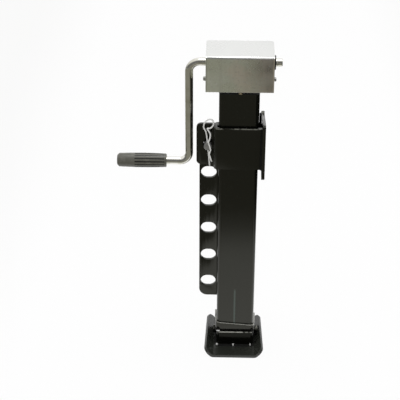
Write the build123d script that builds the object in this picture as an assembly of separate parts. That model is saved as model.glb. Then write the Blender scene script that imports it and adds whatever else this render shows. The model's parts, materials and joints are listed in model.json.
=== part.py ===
"""Crank-wind prop stand: a square telescopic leg in a pinned collar, with a bevel-gear head and a folded foot.

Millimetres. Z is up, X runs away from the crank, Y is to the back, and the origin is the middle of the foot's sole.
"""

from build123d import *
from math import atan2, cos, degrees, hypot, pi, radians, sin, tan
import os

os.makedirs("parts", exist_ok=True)

# Foot pan, folded from plate
pan_thickness = 5.0
pan_side_margin = 6.0
pan_depth = 116.0
pan_flange_out = 9.5
pan_flange_angle = 45.0
pan_corner_radius = 14.0

# Foot socket and the bolt that holds it to the inner tube
socket_wall = 5.0
socket_height = 28.0
socket_gap = 0.5
socket_corner_radius = 6.0
foot_bolt_dia = 8.0
foot_bolt_height = 12.0
foot_bolt_head_across = 13.0
foot_bolt_head_height = 5.3
foot_nut_height = 5.0
foot_washer_dia = 17.0
foot_washer_thickness = 1.6
foot_bolt_tail = 1.0
foot_bolt_hole_gap = 0.5

# Inner tube, which slides in the outer tube
slide_gap = 1.0
inner_wall = 3.0
inner_corner_radius = 5.0
inner_length = 434.0

# Outer tube and the strap round its mouth
tube_width = 60.0
tube_wall = 4.0
tube_corner_radius = 6.0
tube_length = 427.5
mouth_gap = 2.0
band_height = 19.0
band_thickness = 3.2
band_leg_reach = 6.0

# Slotted strip on the tube's left side
strip_width = 29.0
strip_thickness = 5.0
strip_forward = 12.5
strip_bottom_above_mouth = 59.5
strip_corner_radius = 13.0
slot_width = 24.0
slot_height = 20.0
slot_pitch = 49.5
slot_count = 6
slot_inset = 2.4
first_slot_above_end = 28.0

# Collar: two straps with ears, welded to the mounting plate
front_strap_height = 68.0
rear_strap_height = 52.0
strap_thickness = 5.0
strap_inner_bend = 1.0
collar_play = 2.0
plate_play = 5.0
ear_reach = 31.5
ear_corner_radius = 7.0
ear_gap = 0.4
ear_hole_dia = 14.4
ear_hole_shift = 0.8
mount_plate_height = 100.0
mount_plate_rear_height = 60.0
mount_plate_depth = 90.0
mount_plate_thickness = 5.0
mount_plate_corner_radius = 5.0
weld_leg = 3.0

# Lock pin and its spring clip
pin_dia = 12.0
pin_above_slot = 1.0
pin_left_of_slot = 1.5
pin_nose = 9.5
pin_nose_chamfer = 1.0
pin_head_dia = 16.0
pin_head_thickness = 5.0
pin_head_gap = 0.2
pin_tilt = 5.0
clip_wire_dia = 3.0
clip_hole_gap = 0.3
clip_from_ear = 6.2
clip_turn = 35.0
clip_leg_below = 33.5
clip_loop_above = 37.5
clip_loop_width = 11.5
clip_leg_gap = 0.6
clip_nose_gap = 0.4

# Gear head: bearing plate, cheeks and bushes
bearing_plate_thickness = 6.0
cheek_thickness = 5.0
cheek_depth = 54.0
cheek_top_gap = 1.0
cheek_corner_radius = 6.0
head_weld_leg = 5.0
head_weld_out = 3.0
shaft_above_tube = 34.0
shaft_bush_wall = 2.0
shaft_bush_flange = 2.0
shaft_bush_flange_wall = 4.0
running_gap = 0.05
screw_bush_wall = 2.0
screw_bush_flange = 1.5
screw_bush_flange_wall = 7.0

# Head cover: folded sheet with two end plates
head_width = 100.0
head_depth = 68.0
head_height = 55.5
cover_sheet = 2.5
cover_bend_radius = 4.0
end_sheet = 2.0
end_edge_step = 0.5
cover_shaft_hole_gap = 0.6
cover_screw_dia = 5.0
cover_screw_head_dia = 7.5
cover_screw_head_height = 4.3
cover_screw_above_tube = 7.0

# Crank, bent from one round bar
rod_dia = 12.0
arm_reach = 25.0
arm_length = 164.5
shaft_bend_radius = 16.0
grip_bend_radius = 14.0
stem_length = 106.5
shaft_end_reach = 12.5
shaft_end_chamfer = 1.0
shaft_washer_dia = 21.5
shaft_washer_thickness = 2.5
shaft_washer_gap = 0.3
shaft_pin_dia = 4.0
shaft_pin_length = 14.0

# Hand grip and its retaining ring
grip_length = 76.0
grip_dia = 21.0
grip_bulge = 0.8
grip_end_wall = 3.5
grip_end_chamfer = 3.0
grip_bore_gap = 0.1
grip_stem_end_gap = 1.0
grip_groove_depth = 0.7
grip_groove_width = 1.6
grip_groove_count = 14
grip_groove_length = 46.0
grip_groove_start = 3.0
ring_from_stem_end = 3.0
ring_groove_depth = 1.0
ring_height = 1.5
ring_thickness = 1.2
ring_side_gap = 0.4

# Bevel gears
gear_module = 2.0
pinion_teeth = 12
gear_teeth = 24
face_width = 8.5
tooth_addendum = 1.4
tooth_dedendum = 1.9
tooth_thickness = 2.7
tooth_flank_angle = 20.0
pinion_hub_dia = 20.0
pinion_hub_gap = 0.1
pinion_pin_dia = 4.0
gear_web_thickness = 6.0
gear_hub_dia = 28.0
gear_hub_gap = 0.1
gear_pin_dia = 3.0

# Lead screw, its nut and thrust bearing
screw_dia = 20.0
screw_journal_dia = 16.0
screw_collar_dia = 30.0
screw_collar_height = 6.0
screw_travel = 300.0
screw_tail = 5.0
nut_height = 24.0
nut_dia = 36.0
nut_plate_thickness = 6.0
nut_plate_inset = 0.25
nut_plate_hole_gap = 1.0
stop_ring_height = 4.5
stop_ring_dia = 30.0
stop_ring_gap = 0.5
stop_pin_dia = 4.0
race_dia = 34.0
race_height = 3.0
race_clear_gap = 0.5
ball_dia = 4.0
ball_circle_dia = 25.0
ball_count = 12
ball_gap = 0.02

# Heights that follow from the sizes above
pan_top = pan_thickness
socket_top = pan_top + socket_height
mouth = socket_top + mouth_gap
tube_top = mouth + tube_length
bearing_plate_top = tube_top + bearing_plate_thickness
shaft_axis = tube_top + shaft_above_tube
cover_bottom = tube_top
cover_top = cover_bottom + head_height
inner_top = pan_top + inner_length
nut_plate_top = inner_top + nut_plate_thickness
nut_bottom = inner_top - nut_height
upper_race_bottom = tube_top - race_height
lower_race_top = upper_race_bottom - ball_dia - 2 * ball_gap
lower_race_bottom = lower_race_top - race_height
screw_collar_bottom = lower_race_bottom - screw_collar_height
stop_ring_top = nut_bottom - screw_travel - stop_ring_gap
stop_ring_bottom = stop_ring_top - stop_ring_height
screw_bottom = stop_ring_bottom - screw_tail
gear_hub_bottom = bearing_plate_top + screw_bush_flange + gear_hub_gap
strip_bottom = mouth + strip_bottom_above_mouth
last_slot = strip_bottom + first_slot_above_end
first_slot = last_slot + slot_pitch * (slot_count - 1)
strip_top = first_slot + first_slot_above_end + slot_inset
pin_height = first_slot + pin_above_slot
foot_bolt_axis = pan_top + foot_bolt_height

# Sideways and front-to-back places that follow
tube_half = tube_width / 2
inner_half = tube_half - tube_wall - slide_gap
inner_width = 2 * inner_half
socket_half = inner_half + socket_gap + socket_wall
strip_left = -(tube_half + strip_width)
strip_front = -(strip_forward + strip_thickness / 2)
strip_back = strip_front + strip_thickness
slot_left = strip_left + slot_inset
slot_x = slot_left + slot_width / 2
pin_x = slot_x - pin_left_of_slot
strap_side_inner = -(tube_half + collar_play)
strap_front_inner = -(tube_half + collar_play)
strap_back_inner = tube_half + collar_play
front_ear_back = strip_front - ear_gap
rear_ear_front = strip_back + ear_gap
ear_left = strap_side_inner - ear_reach
mount_plate_inner = tube_half + plate_play
mount_plate_outer = mount_plate_inner + mount_plate_thickness
front_ear_front = front_ear_back - strap_thickness
rear_ear_back = rear_ear_front + strap_thickness
pin_nose_end = front_ear_front - pin_nose
pin_head_front = rear_ear_back + pin_head_gap
clip_axis_y = front_ear_front - clip_from_ear
head_half = head_width / 2
cheek_outer = head_half - end_sheet
cheek_inner = cheek_outer - cheek_thickness
shaft_end = head_half + shaft_end_reach
arm_x = -(head_half + arm_reach)
grip_axis = shaft_axis - arm_length
stem_end = arm_x - stem_length
grip_left = stem_end - grip_stem_end_gap - grip_end_wall
grip_right = grip_left + grip_length
bush_flange_inner = cheek_inner - shaft_bush_flange
washer_inner = head_half + shaft_washer_gap
washer_outer = washer_inner + shaft_washer_thickness
shaft_pin_x = washer_outer + shaft_pin_dia / 2

# Bevel gear cones, which share their apex where the shaft meets the screw's axis
pinion_radius = gear_module * pinion_teeth / 2
gear_radius = gear_module * gear_teeth / 2
cone_distance = hypot(pinion_radius, gear_radius)
pinion_cone = atan2(pinion_radius, gear_radius)
gear_cone = pi / 2 - pinion_cone
small_end = 1 - face_width / cone_distance


def rod_x(radius, x_from, x_to, y=0, z=0):
    """A round bar along X."""
    length = x_to - x_from
    return Pos(x_from + length / 2, y, z) * Rot(0, 90, 0) * Cylinder(radius, length)


def rod_y(radius, y_from, y_to, x=0, z=0):
    """A round bar along Y."""
    length = y_to - y_from
    return Pos(x, y_from + length / 2, z) * Rot(90, 0, 0) * Cylinder(radius, length)


def rod_z(radius, z_from, z_to, x=0, y=0):
    """A round bar along Z."""
    length = z_to - z_from
    return Pos(x, y, z_from + length / 2) * Cylinder(radius, length)


def square_tube(width, wall, corner, z_from, z_to):
    """A square tube along Z with rounded corners inside and out."""
    inner = width - 2 * wall
    section = RectangleRounded(width, width, corner)
    section -= RectangleRounded(inner, inner, max(corner - wall, wall / 4))
    return Pos(0, 0, z_from) * extrude(section, z_to - z_from)


def hexagon_x(across, x_from, x_to, y, z):
    """A hexagonal head or nut along X."""
    section = RegularPolygon(across / 2, 6, major_radius=False)
    return Pos(x_from, y, z) * Rot(0, 90, 0) * extrude(section, x_to - x_from)


def foot_pan():
    """Flat sole with its left and right edges folded up."""
    slope = radians(pan_flange_angle)
    setback = pan_thickness * tan(slope / 2)
    fold_top = socket_half + pan_side_margin
    fold_bottom = fold_top + setback
    tip_out = fold_bottom + pan_flange_out
    tip_up = pan_flange_out * tan(slope)
    rim_out = tip_out - pan_thickness * sin(slope)
    rim_up = tip_up + pan_thickness * cos(slope)
    right = [(fold_bottom, 0), (tip_out, tip_up), (rim_out, rim_up), (fold_top, pan_thickness)]
    left = [(-x, z) for x, z in reversed(right)]
    section = Plane.XZ * make_face(Polyline(*right, *left, close=True))
    pan = extrude(section, pan_depth / 2, both=True)
    outline = RectangleRounded(2 * tip_out, pan_depth, pan_corner_radius)
    return pan & extrude(outline, rim_up + pan_thickness)


def foot_socket():
    """Square socket welded on the pan, with a cross hole for the foot bolt."""
    socket = square_tube(2 * socket_half, socket_wall, socket_corner_radius, pan_top, socket_top)
    bolt_hole = foot_bolt_dia / 2 + foot_bolt_hole_gap / 2
    return socket - rod_x(bolt_hole, -2 * socket_half, 2 * socket_half, z=foot_bolt_axis)


def foot_bolt():
    """Hexagon bolt through socket and inner tube, head on the crank side."""
    head_inner = -socket_half
    tail = socket_half + foot_washer_thickness + foot_nut_height + foot_bolt_tail
    head = hexagon_x(
        foot_bolt_head_across, head_inner - foot_bolt_head_height, head_inner, 0, foot_bolt_axis
    )
    return head + rod_x(foot_bolt_dia / 2, head_inner, tail, z=foot_bolt_axis)


def foot_washer():
    """Washer under the foot bolt's nut."""
    outer = socket_half + foot_washer_thickness
    disc = rod_x(foot_washer_dia / 2, socket_half, outer, z=foot_bolt_axis)
    return disc - rod_x(foot_bolt_dia / 2, 0, 2 * outer, z=foot_bolt_axis)


def foot_nut():
    """Nut on the foot bolt."""
    inner = socket_half + foot_washer_thickness
    nut = hexagon_x(foot_bolt_head_across, inner, inner + foot_nut_height, 0, foot_bolt_axis)
    return nut - rod_x(foot_bolt_dia / 2, 0, 2 * inner, z=foot_bolt_axis)


def inner_tube():
    """Sliding inner tube, which stands on the pan inside the socket."""
    tube = square_tube(inner_width, inner_wall, inner_corner_radius, pan_top, inner_top)
    bolt_hole = foot_bolt_dia / 2 + foot_bolt_hole_gap / 2
    return tube - rod_x(bolt_hole, -inner_width, inner_width, z=foot_bolt_axis)


def nut_plate():
    """Square plate welded on the inner tube's top."""
    width = inner_width - 2 * nut_plate_inset
    section = RectangleRounded(width, width, inner_corner_radius)
    section -= Circle(screw_dia / 2 + nut_plate_hole_gap)
    return Pos(0, 0, inner_top) * extrude(section, nut_plate_thickness)


def screw_nut():
    """Bronze nut under the nut plate."""
    nut = rod_z(nut_dia / 2, nut_bottom, inner_top)
    return nut - rod_z(screw_dia / 2 + running_gap, nut_bottom - nut_height, inner_top + nut_height)


def outer_tube():
    """Fixed outer tube."""
    return square_tube(tube_width, tube_wall, tube_corner_radius, mouth, tube_top)


def head_weld():
    """Fillet weld round the tube's top, under the bearing plate."""
    lower = RectangleRounded(tube_width, tube_width, tube_corner_radius)
    wide = tube_width + 2 * head_weld_out
    upper = RectangleRounded(wide, wide, tube_corner_radius + head_weld_out)
    bead = loft([Pos(0, 0, tube_top - head_weld_leg) * lower, Pos(0, 0, tube_top) * upper])
    core = Pos(0, 0, tube_top - 2 * head_weld_leg) * extrude(lower, 4 * head_weld_leg)
    return bead - core


def end_band():
    """U-shaped strap welded round the front and sides of the tube's mouth."""
    outer = tube_width + 2 * band_thickness
    section = RectangleRounded(outer, outer, tube_corner_radius + band_thickness)
    section -= RectangleRounded(tube_width, tube_width, tube_corner_radius)
    band = Pos(0, 0, mouth) * extrude(section, band_height)
    behind = Pos(0, band_leg_reach + outer / 2, mouth) * Box(2 * outer, outer, 4 * band_height)
    return band - behind


def slot_strip():
    """Flat bar welded on edge to the tube's left side, with a row of slots for the lock pin."""
    length = strip_top - strip_bottom
    section = Pos(strip_left + strip_width / 2, strip_bottom + length / 2) * Rectangle(
        strip_width, length
    )
    lower_left = section.vertices().sort_by(Axis.X)[:2].sort_by(Axis.Y)
    section = fillet(lower_left, min(strip_corner_radius, strip_width / 2))
    for number in range(slot_count):
        slot = SlotOverall(slot_width, slot_height)
        section -= Pos(slot_x, last_slot + number * slot_pitch) * slot
    bar = Plane.XZ * section
    return Pos(0, strip_back, 0) * extrude(bar, strip_thickness)


def strap(points, bends, height):
    """A collar strap: flat bar bent along points seen from above, with an ear for the lock pin."""
    section = trace(FilletPolyline(*points, radius=bends), strap_thickness)
    return Pos(0, 0, pin_height - height / 2) * extrude(section, height)


def ear_cut(bar):
    """Rounds an ear's two free corners and drills it for the pin."""
    corners = bar.edges().filter_by(Axis.Y).group_by(Axis.X)[0]
    bar = fillet(corners, ear_corner_radius)
    hole_x = pin_x - ear_hole_shift
    hole_z = pin_height - ear_hole_shift
    return bar - rod_y(ear_hole_dia / 2, -tube_width, tube_width, hole_x, hole_z)


def front_strap():
    """Front half of the collar, from its ear to the mounting plate."""
    mid = strap_thickness / 2
    side = strap_side_inner - mid
    front = strap_front_inner - mid
    ear = front_ear_back - mid
    bend = strap_inner_bend + mid
    points = [(ear_left, ear), (side, ear), (side, front), (mount_plate_inner, front)]
    return ear_cut(strap(points, bend, front_strap_height))


def rear_strap():
    """Rear half of the collar, from its ear to the mounting plate."""
    mid = strap_thickness / 2
    side = strap_side_inner - mid
    back = strap_back_inner + mid
    ear = rear_ear_front + mid
    bend = strap_inner_bend + mid
    points = [(ear_left, ear), (side, ear), (side, back), (mount_plate_inner, back)]
    return ear_cut(strap(points, bend, rear_strap_height))


def mounting_plate():
    """Flat plate that is fixed to the vehicle, on the side away from the crank, lower at the back."""
    front = mount_plate_height / 2
    rear = mount_plate_rear_height / 2
    half = mount_plate_depth / 2
    outline = make_face(
        Polyline((-half, -front), (half, -rear), (half, rear), (-half, front), close=True)
    )
    outline = fillet(outline.vertices(), mount_plate_corner_radius)
    plate = extrude(Plane.YZ * outline, mount_plate_thickness)
    return Pos(mount_plate_inner, 0, pin_height) * plate


def collar_welds():
    """Fillet welds between the straps' outer faces and the mounting plate."""
    face = strap_back_inner + strap_thickness
    beads = []
    for side, height in ((-1, front_strap_height), (1, rear_strap_height)):
        corner = (mount_plate_inner, side * face)
        along = (mount_plate_inner - weld_leg, side * face)
        out = (mount_plate_inner, side * (face + weld_leg))
        triangle = make_face(Polyline(corner, along, out, close=True))
        bead = Pos(0, 0, pin_height - height / 2) * extrude(triangle, height)
        beads.append(bead.solid())
    return Compound(children=beads)


def lock_pin():
    """Headed pin through both ears and the strip, cross-drilled for the clip."""
    shank = rod_y(pin_dia / 2, pin_nose_end, pin_head_front, pin_x, pin_height)
    nose = shank.edges().filter_by(GeomType.CIRCLE).group_by(Axis.Y)[0]
    shank = chamfer(nose, pin_nose_chamfer)
    head_back = pin_head_front + pin_head_thickness
    head = rod_y(pin_head_dia / 2, pin_head_front, head_back, pin_x, pin_height)
    cross = rod_z(clip_wire_dia / 2 + clip_hole_gap, -pin_dia, pin_dia)
    return shank + head - Pos(pin_x, clip_axis_y, pin_height) * Rot(0, -pin_tilt, 0) * cross


def r_clip():
    """Wire clip: a straight leg through the pin, a loop above it and a waved leg over the pin's nose."""
    wire = clip_wire_dia
    near = wire + clip_leg_gap
    along = (pin_nose - clip_from_ear + wire / 2 + clip_nose_gap) / cos(radians(clip_turn))
    over = along + wire / 3
    loop_foot = clip_loop_above - clip_loop_width
    points = [
        (0, -clip_leg_below),
        (0, clip_loop_above),
        (clip_loop_width, clip_loop_above),
        (clip_loop_width, loop_foot),
        (near, loop_foot - 3 * wire),
        (near, pin_dia),
        (over, pin_dia / 2 - wire / 3),
        (over, -pin_dia / 2 + wire / 3),
        (along, -pin_dia),
        (along, -clip_leg_below / 2),
        (along + wire, -clip_leg_below * 3 / 4),
    ]
    loop_bend = (clip_loop_width - clip_leg_gap) / 2
    path = Plane.XZ * FilletPolyline(*points, radius=[loop_bend, loop_bend] + [1.3 * wire] * 7)
    start = Plane(origin=path @ 0, z_dir=path % 0)
    clip = Rot(0, 0, clip_turn - 90) * sweep(start * Circle(wire / 2), path=path)
    return Pos(pin_x, clip_axis_y, pin_height) * Rot(0, -pin_tilt, 0) * clip


def bearing_plate():
    """Plate welded on the tube's top, which carries the screw."""
    length = 2 * cheek_inner
    plate = Pos(0, 0, tube_top) * extrude(Rectangle(length, cheek_depth), bearing_plate_thickness)
    bush = screw_journal_dia / 2 + running_gap + screw_bush_wall
    return plate - rod_z(bush, tube_top - tube_wall, bearing_plate_top + tube_wall)


def cheek_plates():
    """Two upright cheeks, bored for the cross shaft and tapped for the cover screws."""
    top = cover_top - cover_sheet - cheek_top_gap
    height = top - tube_top
    cheeks = []
    for side in (-1, 1):
        cheek = Pos(side * (cheek_inner + cheek_outer) / 2, 0, tube_top + height / 2) * Box(
            cheek_thickness, cheek_depth, height
        )
        upper = cheek.edges().filter_by(Axis.X).group_by(Axis.Z)[-1]
        cheek = fillet(upper, cheek_corner_radius)
        bush = rod_dia / 2 + running_gap + shaft_bush_wall
        cheek -= rod_x(bush, -head_width, head_width, z=shaft_axis)
        cheek -= rod_x(
            cover_screw_dia / 2, -head_width, head_width, z=tube_top + cover_screw_above_tube
        )
        cheeks.append(cheek.solid())
    return Compound(children=cheeks)


def shaft_bushes():
    """Flanged bronze bushes for the cross shaft, one in each cheek."""
    bore = rod_dia / 2 + running_gap
    bushes = []
    for side in (-1, 1):
        sleeve = rod_x(bore + shaft_bush_wall, cheek_inner, cheek_outer, z=shaft_axis)
        flange = rod_x(bore + shaft_bush_flange_wall, bush_flange_inner, cheek_inner, z=shaft_axis)
        bush = sleeve + flange - rod_x(bore, 0, head_width, z=shaft_axis)
        bushes.append((bush if side > 0 else mirror(bush, Plane.YZ)).solid())
    return Compound(children=bushes)


def screw_bush():
    """Flanged bronze bush for the screw's journal, in the bearing plate."""
    bore = screw_journal_dia / 2 + running_gap
    sleeve = rod_z(bore + screw_bush_wall, tube_top, bearing_plate_top)
    flange_top = bearing_plate_top + screw_bush_flange
    flange = rod_z(bore + screw_bush_flange_wall, bearing_plate_top, flange_top)
    return sleeve + flange - rod_z(bore, tube_top - tube_wall, flange_top + tube_wall)


def upper_race():
    """Thrust bearing's fixed race, against the bearing plate."""
    race = rod_z(race_dia / 2, upper_race_bottom, tube_top)
    return race - rod_z(screw_journal_dia / 2 + race_clear_gap, lower_race_top, bearing_plate_top)


def lower_race():
    """Thrust bearing's turning race, on the screw's collar."""
    race = rod_z(race_dia / 2, lower_race_bottom, lower_race_top)
    return race - rod_z(screw_journal_dia / 2, screw_collar_bottom, tube_top)


def bearing_balls():
    """Ring of balls between the two races."""
    middle = upper_race_bottom - ball_gap - ball_dia / 2
    spots = PolarLocations(ball_circle_dia / 2, ball_count)
    balls = [Pos(0, 0, middle) * spot * Sphere(ball_dia / 2) for spot in spots]
    return Compound(children=[ball.solid() for ball in balls])


def head_cover():
    """Folded sheet over the front, top and back of the gear head."""
    length = 2 * cheek_outer
    outer = Pos(0, 0, cover_bottom + head_height / 2) * Box(length, head_depth, head_height)
    inner = Pos(0, 0, cover_bottom + head_height / 2 - cover_sheet) * Box(
        2 * head_width, head_depth - 2 * cover_sheet, head_height
    )
    bends = outer.edges().filter_by(Axis.X).group_by(Axis.Z)[-1]
    outer = fillet(bends, cover_bend_radius)
    folds = inner.edges().filter_by(Axis.X).group_by(Axis.Z)[-1]
    return outer - fillet(folds, max(cover_bend_radius - cover_sheet, cover_sheet / 4))


def cover_ends():
    """Two end plates of the cover, with holes for the shaft and the cover screws."""
    depth = head_depth - 2 * end_edge_step
    height = head_height - end_edge_step
    ends = []
    for side in (-1, 1):
        plate = Pos(side * (cheek_outer + end_sheet / 2), 0, cover_bottom + height / 2) * Box(
            end_sheet, depth, height
        )
        upper = plate.edges().filter_by(Axis.X).group_by(Axis.Z)[-1]
        plate = fillet(upper, cover_bend_radius)
        plate -= rod_x(
            rod_dia / 2 + cover_shaft_hole_gap, -head_width, head_width, z=shaft_axis
        )
        plate -= rod_x(
            cover_screw_dia / 2, -head_width, head_width, z=tube_top + cover_screw_above_tube
        )
        ends.append(plate.solid())
    return Compound(children=ends)


def cover_screws():
    """Button-head screw on each end of the cover, into the cheek behind it."""
    height = tube_top + cover_screw_above_tube
    screws = []
    for side in (-1, 1):
        head = rod_x(
            cover_screw_head_dia / 2, head_half, head_half + cover_screw_head_height, z=height
        )
        crown = head.edges().filter_by(GeomType.CIRCLE).group_by(Axis.X)[-1]
        head = fillet(crown, cover_screw_head_dia / 4)
        screw = head + rod_x(cover_screw_dia / 2, cheek_inner, head_half, z=height)
        screws.append((screw if side > 0 else mirror(screw, Plane.YZ)).solid())
    return Compound(children=screws)


def crank_rod():
    """Cross shaft, arm and grip stem, bent from one bar and drilled for its pins."""
    points = [(shaft_end, shaft_axis), (arm_x, shaft_axis), (arm_x, grip_axis), (stem_end, grip_axis)]
    path = Plane.XZ * FilletPolyline(*points, radius=[shaft_bend_radius, grip_bend_radius])
    start = Plane(origin=path @ 0, z_dir=path % 0)
    rod = sweep(start * Circle(rod_dia / 2), path=path)
    ends = rod.edges().filter_by(GeomType.CIRCLE)
    right = ends.group_by(Axis.X)[-1]
    left = ends.group_by(Axis.X)[0]
    rod = chamfer(right + left, shaft_end_chamfer)
    rod -= rod_y(shaft_pin_dia / 2, -rod_dia, rod_dia, shaft_pin_x, shaft_axis)
    rod -= rod_y(pinion_pin_dia / 2, -rod_dia, rod_dia, pinion_pin_x(), shaft_axis)
    ring_middle = stem_end + ring_from_stem_end
    groove = rod_x(rod_dia, ring_middle - ring_thickness / 2, ring_middle + ring_thickness / 2, z=grip_axis)
    groove -= rod_x(rod_dia / 2 - ring_groove_depth, stem_end, arm_x, z=grip_axis)
    return rod - groove


def shaft_washer():
    """Washer on the cross shaft, outside the cover."""
    washer = rod_x(shaft_washer_dia / 2, washer_inner, washer_outer, z=shaft_axis)
    return washer - rod_x(rod_dia / 2, 0, head_width, z=shaft_axis)


def shaft_pin():
    """Cross pin that keeps the shaft's washer on."""
    half = shaft_pin_length / 2
    return rod_y(shaft_pin_dia / 2, -half, half, shaft_pin_x, shaft_axis)


def hand_grip():
    """Moulded grip that turns on the crank's stem, closed at its outer end."""
    middle = (grip_left + grip_right) / 2
    radius = grip_dia / 2
    end = grip_end_chamfer
    profile = Polyline(
        (grip_left + end, radius), (grip_left, radius - end), (grip_left, 0), (grip_right, 0),
        (grip_right, radius - end / 3), (grip_right - end / 3, radius),
    )
    crown = ThreePointArc(
        (grip_right - end / 3, radius), (middle, radius + grip_bulge), (grip_left + end, radius)
    )
    body = revolve(Plane.XZ * make_face([*profile.edges(), crown]), Axis.X)
    reach = radius + grip_bulge
    for number in range(grip_groove_count):
        groove = Box(grip_groove_length, grip_groove_width, 2 * grip_groove_depth)
        start = grip_right - grip_groove_start - grip_groove_length / 2
        body -= Rot(360 / grip_groove_count * number, 0, 0) * Pos(start, 0, reach) * groove
    bore_end = stem_end - grip_stem_end_gap
    body -= rod_x(rod_dia / 2 + grip_bore_gap, bore_end, grip_right + end)
    ring_middle = stem_end + ring_from_stem_end
    half = ring_thickness / 2 + ring_side_gap
    pocket = rod_dia / 2 - ring_groove_depth + ring_height + 2 * ring_side_gap
    body -= rod_x(pocket, ring_middle - half, ring_middle + half)
    return Pos(0, 0, grip_axis) * body


def grip_ring():
    """Retaining ring in the stem's groove, inside the grip."""
    ring_middle = stem_end + ring_from_stem_end
    inner = rod_dia / 2 - ring_groove_depth
    half = ring_thickness / 2
    ring = rod_x(inner + ring_height + ring_side_gap, ring_middle - half, ring_middle + half)
    ring -= rod_x(inner, stem_end - rod_dia, arm_x)
    return Pos(0, 0, grip_axis) * ring


def bevel_tooth(radius, cone, turn):
    """One straight tooth about the Z axis with its cone's apex at the origin and its body below."""
    flank = tan(radians(tooth_flank_angle))
    middle = tooth_thickness / 2
    tip = middle - tooth_addendum * flank
    root = middle + tooth_dedendum * flank
    out = Vector(sin(cone), 0, -cos(cone))
    rise = Vector(cos(cone), 0, sin(cone))
    side = Vector(0, 1, 0)
    centre = out * (radius / sin(cone))
    sunk = tooth_dedendum * 1.4
    shape = [
        (-root, -sunk), (-root, -tooth_dedendum), (-tip, tooth_addendum),
        (tip, tooth_addendum), (root, -tooth_dedendum), (root, -sunk),
    ]
    large = [centre + side * across + rise * up for across, up in shape]
    small = [point * small_end for point in large]
    ends = [make_face(Polyline(*loop, close=True)) for loop in (large, small)]
    return Rot(0, 0, turn) * loft(ends, ruled=True)


def bevel_body(radius, cone):
    """Root cone's corner points, as (radius, height) at the large and the small end."""
    distance = radius / sin(cone)
    large = (
        distance * sin(cone) - tooth_dedendum * cos(cone),
        -distance * cos(cone) - tooth_dedendum * sin(cone),
    )
    return large, (large[0] * small_end, large[1] * small_end)


def pinion_pin_x():
    """Where the pinion's cross pin goes through its hub."""
    return (gear_radius + bush_flange_inner) / 2


def bevel_pinion():
    """Small bevel gear, pinned on the cross shaft."""
    large, small = bevel_body(pinion_radius, pinion_cone)
    bore = rod_dia / 2
    hub = pinion_hub_dia / 2
    hub_end = -(bush_flange_inner - pinion_hub_gap)
    section = Polyline(
        (bore, small[1]), small, large, (hub, large[1]), (hub, hub_end), (bore, hub_end), close=True
    )
    pinion = revolve(Plane.XZ * make_face(section), Axis.Z)
    for number in range(pinion_teeth):
        pinion += bevel_tooth(pinion_radius, pinion_cone, 360 / pinion_teeth * number)
    pinion -= rod_z(bore, hub_end - bore, bore)
    pinion = Pos(0, 0, shaft_axis) * Rot(0, -90, 0) * pinion
    return pinion - rod_y(pinion_pin_dia / 2, -pinion_hub_dia, pinion_hub_dia, pinion_pin_x(), shaft_axis)


def pinion_pin():
    """Cross pin through the pinion's hub and the shaft."""
    half = pinion_hub_dia / 2
    return rod_y(pinion_pin_dia / 2, -half, half, pinion_pin_x(), shaft_axis)


def gear_pin_height():
    """Height of the cross pin through the large gear's hub."""
    return gear_hub_bottom + gear_pin_dia / 2 + 1


def bevel_gear():
    """Large bevel gear, pinned on top of the screw."""
    large, small = bevel_body(gear_radius, gear_cone)
    bore = screw_journal_dia / 2
    hub = gear_hub_dia / 2
    hub_end = gear_hub_bottom - shaft_axis
    web = large[1] - gear_web_thickness
    section = Polyline(
        (bore, small[1]), small, large, (large[0], web), (hub, web), (hub, hub_end),
        (bore, hub_end), close=True,
    )
    gear = revolve(Plane.XZ * make_face(section), Axis.Z)
    for number in range(gear_teeth):
        gear += bevel_tooth(gear_radius, gear_cone, 360 / gear_teeth * (number + 0.5))
    gear -= rod_z(bore, hub_end - bore, bore)
    gear = Pos(0, 0, shaft_axis) * gear
    return gear - rod_y(gear_pin_dia / 2, -gear_hub_dia, gear_hub_dia, 0, gear_pin_height())


def gear_pin():
    """Cross pin through the large gear's hub and the screw's journal."""
    half = gear_hub_dia / 2
    return rod_y(gear_pin_dia / 2, -half, half, 0, gear_pin_height())


def lead_screw():
    """Lead screw with its thrust collar and top journal, at pitch diameter without thread grooves."""
    journal_top = shaft_axis + bevel_body(gear_radius, gear_cone)[1][1]
    screw = rod_z(screw_dia / 2, screw_bottom, screw_collar_bottom)
    screw += rod_z(screw_collar_dia / 2, screw_collar_bottom, lower_race_bottom)
    screw += rod_z(screw_journal_dia / 2, lower_race_bottom, journal_top)
    screw -= rod_y(gear_pin_dia / 2, -screw_dia, screw_dia, 0, gear_pin_height())
    stop = stop_ring_bottom + stop_ring_height / 2
    return screw - rod_x(stop_pin_dia / 2, -screw_dia, screw_dia, 0, stop)


def stop_ring():
    """Ring near the screw's end that stops the nut at full reach."""
    ring = rod_z(stop_ring_dia / 2, stop_ring_bottom, stop_ring_top)
    ring -= rod_z(screw_dia / 2, screw_bottom, nut_bottom)
    stop = stop_ring_bottom + stop_ring_height / 2
    return ring - rod_x(stop_pin_dia / 2, -stop_ring_dia, stop_ring_dia, 0, stop)


def stop_pin():
    """Cross pin that holds the stop ring on the screw."""
    stop = stop_ring_bottom + stop_ring_height / 2
    return rod_x(stop_pin_dia / 2, -stop_ring_dia / 2, stop_ring_dia / 2, 0, stop)


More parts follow.
